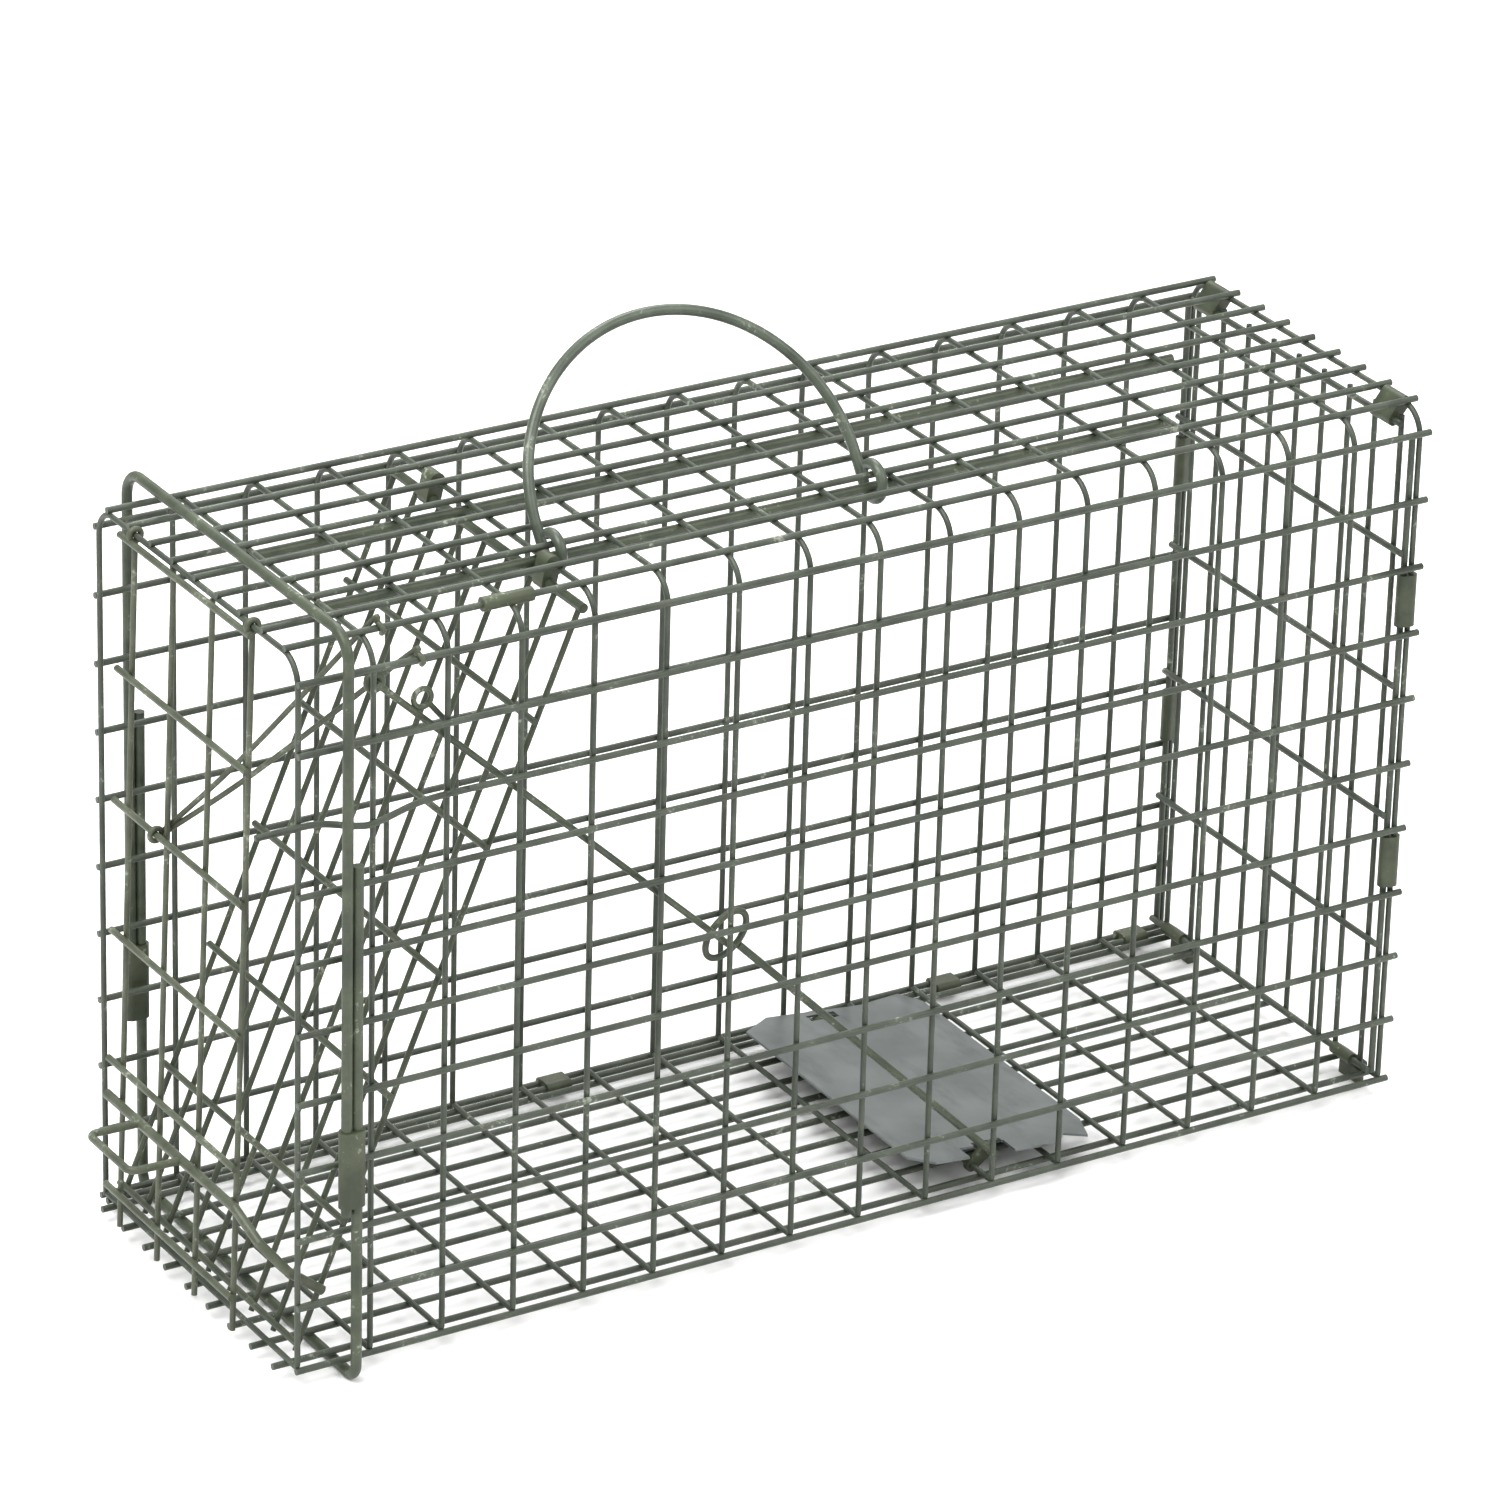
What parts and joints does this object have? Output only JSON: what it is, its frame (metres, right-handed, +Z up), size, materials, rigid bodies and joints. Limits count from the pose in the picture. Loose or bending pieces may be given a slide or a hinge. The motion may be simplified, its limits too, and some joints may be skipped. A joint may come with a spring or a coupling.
{
  "type": "live catch trap",
  "caption": "Welded wire live catch trap with a sloping drop door, a hanging gate, a floor treadle with a trip rod, a sliding hoop and a folding wire handle.",
  "frame": {"origin": "centre of the footprint, on the ground the trap stands on", "axes": "+X from the door to the closed end, +Z up, -Y the side with the trip rod"},
  "size_m": [0.4373, 0.1482, 0.299],
  "materials": {
    "painted_wire": "satin",
    "painted_bar": "satin",
    "painted_sheet": "satin",
    "galvanised_sheet": "matte"
  },
  "bodies": {
    "root": {"floor_mesh": "painted_wire", "near_wall_mesh": "painted_wire", "bowed_wire": "painted_wire", "far_wall_mesh": "painted_wire", "roof_mesh": "painted_wire", "back_panel": "painted_wire", "panel_clips": "painted_sheet", "roof_clips": "painted_sheet", "foot_clips": "painted_sheet", "seam_clips": "painted_sheet", "roof_rod": "painted_wire", "handle_rod": "painted_wire", "roof_sleeve": "painted_sheet", "door_hinge_clips": "painted_sheet", "gate_spring": "painted_wire", "axle_brackets": "painted_sheet", "trip_pivot": "painted_wire"},
    "door": {"door_mesh": "painted_wire", "door_hinge_bar": "painted_wire"},
    "gate": {"gate_mesh": "painted_wire", "locking_bar": "painted_wire", "lift_tab": "painted_wire"},
    "hoop": {"hoop_upper": "painted_bar", "hoop_lower": "painted_bar", "hoop_sleeves": "painted_sheet"},
    "treadle": {"treadle_plate": "galvanised_sheet", "treadle_rod": "painted_wire", "treadle_loop": "painted_wire"},
    "trip": {"trip_rod": "painted_wire", "catch_hook": "painted_wire"},
    "handle": {"handle": "painted_bar"}
  },
  "joints": [
    {"name": "door_hinge", "type": "hinge", "parent": "root", "child": "door", "pos_m": [-0.09055, 0, 0.23995], "axis": [0, 1, 0], "range_deg": [0, 47]},
    {"name": "gate_hinge", "type": "hinge", "parent": "root", "child": "gate", "pos_m": [-0.19075, 0, 0.246], "axis": [0, 1, 0], "range_deg": [0, 64], "deforming": ["gate_spring"]},
    {"name": "hoop_slide", "type": "slide", "parent": "root", "child": "hoop", "axis": [1, 0, 0], "range_m": [0, 0.04]},
    {"name": "treadle_pivot", "type": "hinge", "parent": "root", "child": "treadle", "pos_m": [0.06945, 0, 0.011], "axis": [0, -1, 0], "range_deg": [0, 7]},
    {"name": "trip_pivot_joint", "type": "hinge", "parent": "root", "child": "trip", "pos_m": [-0.16345, -0.0617, 0.2322], "axis": [0, 1, 0], "range_deg": [0, 6]},
    {"name": "handle_hinge", "type": "hinge", "parent": "root", "child": "handle", "pos_m": [0, -0.0288, 0.24538], "axis": [1, 0, 0], "range_deg": [-9, 118]}
  ],
  "couplings": [
    {"joint": "gate_hinge", "follows": "door_hinge", "ratio": 1.35},
    {"joint": "trip_pivot_joint", "follows": "treadle_pivot", "ratio": 0.8}
  ]
}
